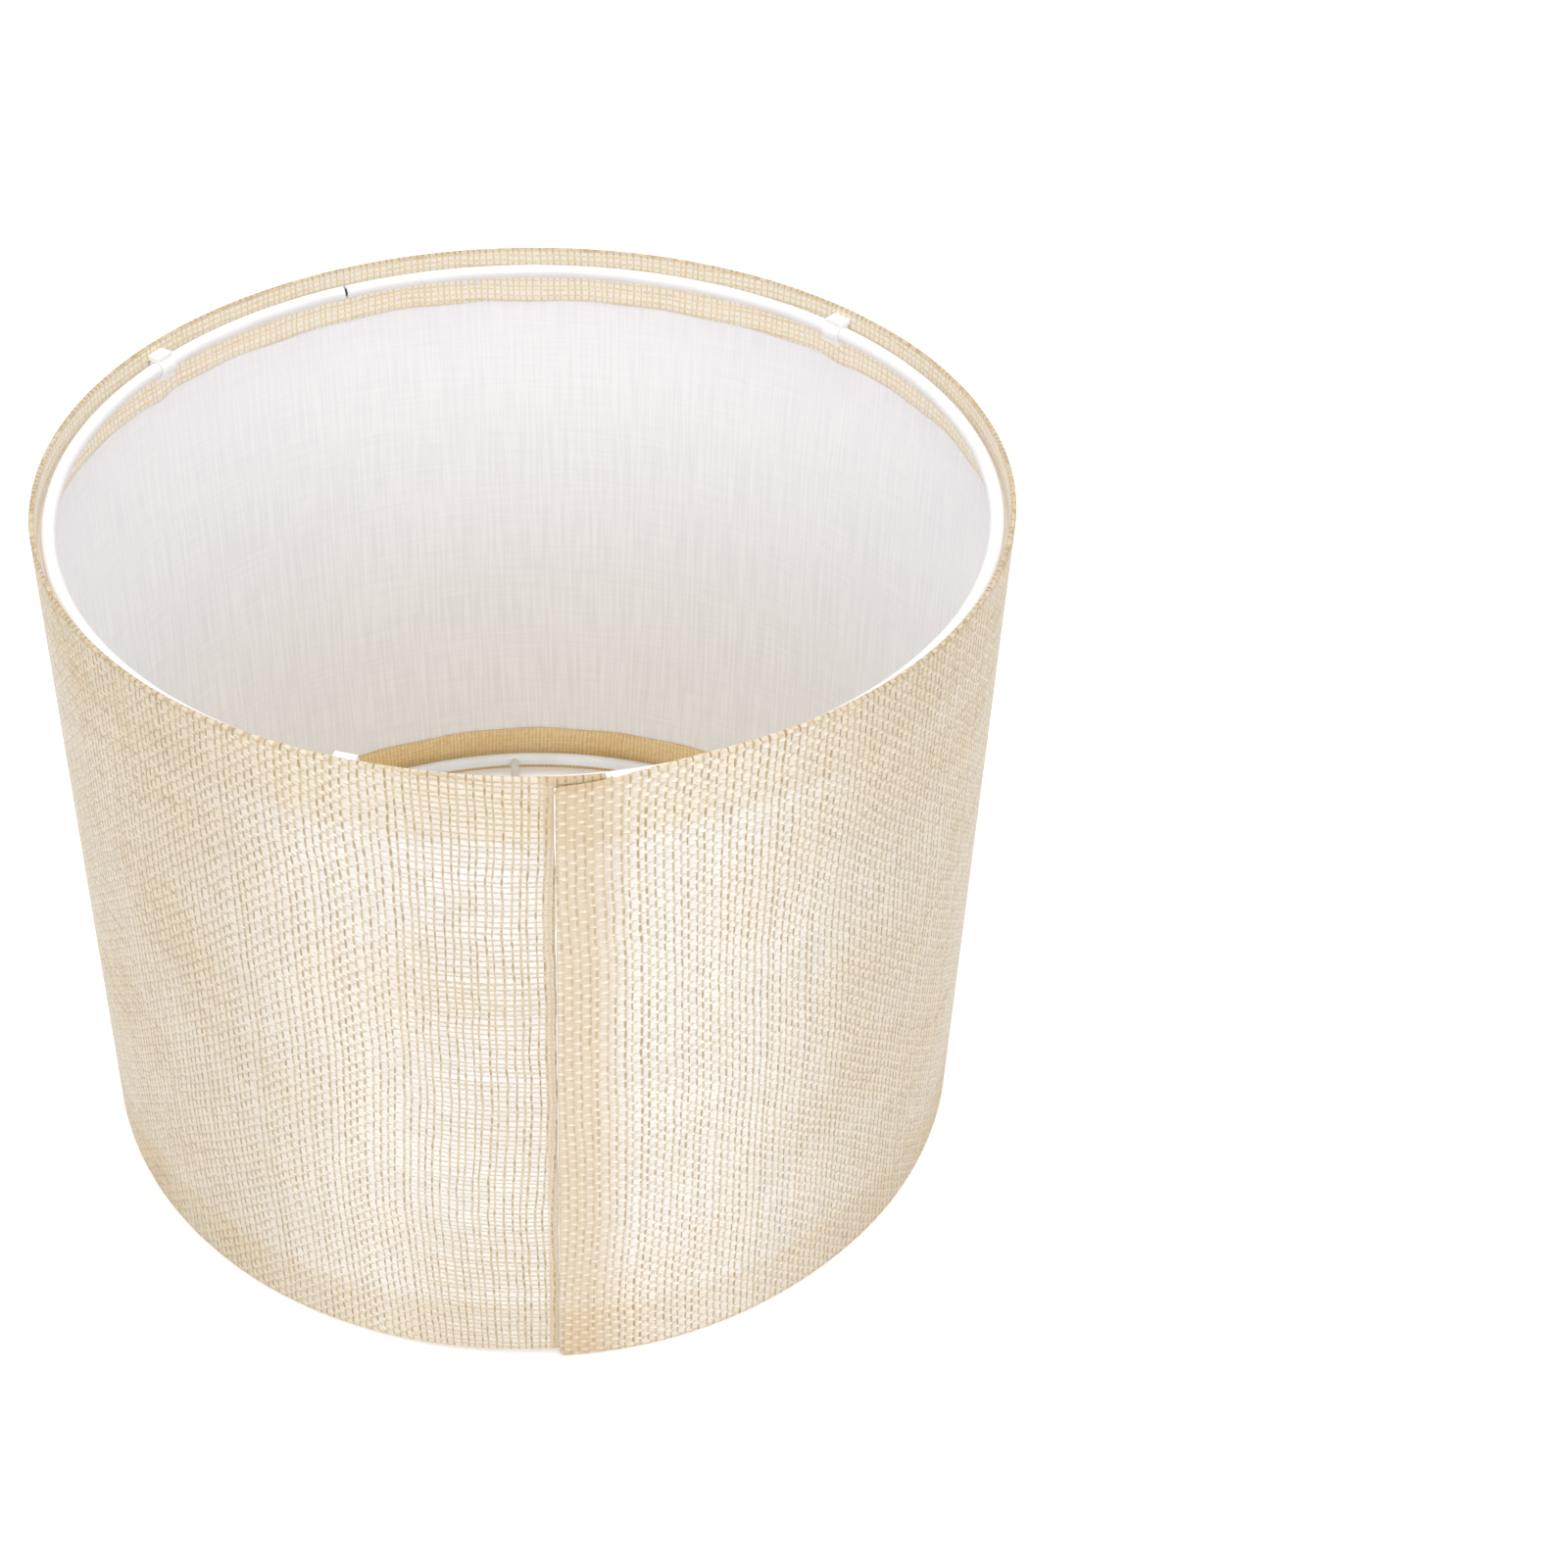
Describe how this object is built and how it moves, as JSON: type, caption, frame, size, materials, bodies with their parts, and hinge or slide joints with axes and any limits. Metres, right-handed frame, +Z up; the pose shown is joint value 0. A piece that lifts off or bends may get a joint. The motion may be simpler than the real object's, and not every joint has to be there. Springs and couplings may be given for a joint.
{
  "type": "lamp shade",
  "caption": "Straight woven drum lamp shade on a stiff white liner, with clipped hoops inside both rims and a spoked ring fitter near the lower rim.",
  "frame": {"origin": "centre of the circle that the lower rim stands on", "axes": "+Z up along the shade's axis, from the rim with the fitter to the open rim; -Y towards the seam side"},
  "size_m": [0.25, 0.251, 0.197],
  "materials": {
    "woven_cloth": "open plain weave, tan warp and cream weft",
    "white_liner": "stiff white sheet with a fine linen texture",
    "adhesive_tape": "clear double-sided tape",
    "white_plastic": "smooth white moulding",
    "hoop_plastic": "smooth white moulding",
    "clip_plastic": "smooth white moulding",
    "pin_steel": "bare steel",
    "white_wire": "white paint, satin",
    "painted_ring": "white paint, satin"
  },
  "bodies": {
    "root": {"cover_cloth": "woven_cloth", "liner_sheet": "white_liner", "seam_tape": "adhesive_tape", "top_hoop_long_arc": "white_plastic", "top_hoop_short_arc": "white_plastic", "top_hoop_pins": "pin_steel", "top_clip_right": "clip_plastic", "top_clip_left": "clip_plastic", "top_clip_front": "clip_plastic", "bottom_hoop": "hoop_plastic", "bottom_clip_right": "clip_plastic", "bottom_clip_left": "clip_plastic", "bottom_clip_front": "clip_plastic", "spoke_back": "white_wire", "spoke_left": "white_wire", "spoke_right": "white_wire", "fitter_ring": "painted_ring"}
  },
  "joints": []
}
